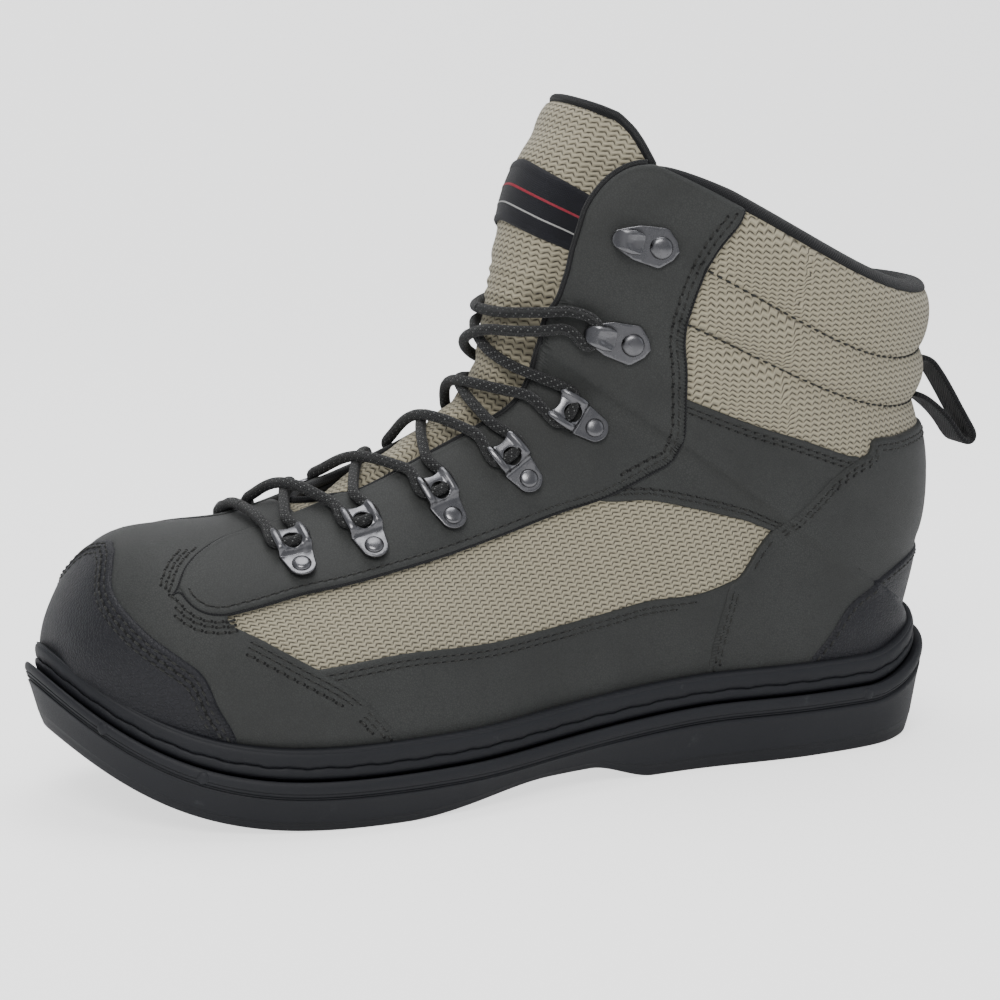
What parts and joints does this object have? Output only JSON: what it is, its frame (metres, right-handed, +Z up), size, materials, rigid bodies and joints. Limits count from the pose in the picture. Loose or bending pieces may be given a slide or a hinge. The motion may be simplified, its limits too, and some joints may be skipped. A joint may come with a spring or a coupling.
{
  "type": "wading boot",
  "caption": "Left wading boot: padded mesh upper with leather panels, toe cap and heel guard, laced through metal loops and hooks, on a cupped rubber sole.",
  "frame": {"origin": "centre of the bounding box at the floor, under the sole", "axes": "+Z up, -X towards the toe, -Y towards the outer side of the left foot"},
  "size_m": [0.352, 0.1208, 0.2285],
  "materials": {
    "sole_rubber": "matt",
    "cap_rubber": "grained, satin",
    "mesh_cloth": "ribbed knit",
    "panel_leather": "satin",
    "lining": "matt",
    "webbing": "matt",
    "cord": "matt",
    "gunmetal": "satin"
  },
  "bodies": {
    "root": {"upper": "mesh_cloth", "outsole": "sole_rubber", "midsole": "sole_rubber", "welt": "sole_rubber", "insole": "lining", "tongue": "mesh_cloth", "tongue_patch": "lining", "collar_binding": "lining", "toe_cap": "cap_rubber", "heel_guard": "cap_rubber", "vamp_panel": "panel_leather", "counter_panel": "panel_leather", "facing_outer": "panel_leather", "side_panel_outer": "panel_leather", "ankle_panel_outer": "panel_leather", "facing_inner": "panel_leather", "side_panel_inner": "panel_leather", "ankle_panel_inner": "panel_leather", "pull_loop": "webbing", "lace_loop_outer_1": "gunmetal", "loop_rivet_outer_1": "gunmetal", "lace_loop_outer_2": "gunmetal", "loop_rivet_outer_2": "gunmetal", "lace_loop_outer_3": "gunmetal", "loop_rivet_outer_3": "gunmetal", "lace_loop_outer_4": "gunmetal", "loop_rivet_outer_4": "gunmetal", "lace_loop_outer_5": "gunmetal", "loop_rivet_outer_5": "gunmetal", "lace_hook_outer_1": "gunmetal", "hook_rivet_outer_1": "gunmetal", "lace_hook_outer_2": "gunmetal", "hook_rivet_outer_2": "gunmetal", "lace_loop_inner_1": "gunmetal", "loop_rivet_inner_1": "gunmetal", "lace_loop_inner_2": "gunmetal", "loop_rivet_inner_2": "gunmetal", "lace_loop_inner_3": "gunmetal", "loop_rivet_inner_3": "gunmetal", "lace_loop_inner_4": "gunmetal", "loop_rivet_inner_4": "gunmetal", "lace_loop_inner_5": "gunmetal", "loop_rivet_inner_5": "gunmetal", "lace_hook_inner_1": "gunmetal", "hook_rivet_inner_1": "gunmetal", "lace_hook_inner_2": "gunmetal", "hook_rivet_inner_2": "gunmetal", "lace_bar_1": "cord", "lace_cross_1": "cord", "lace_cross_2": "cord", "lace_cross_3": "cord", "lace_cross_4": "cord", "lace_cross_5": "cord", "lace_bar_top": "cord"}
  },
  "joints": []
}
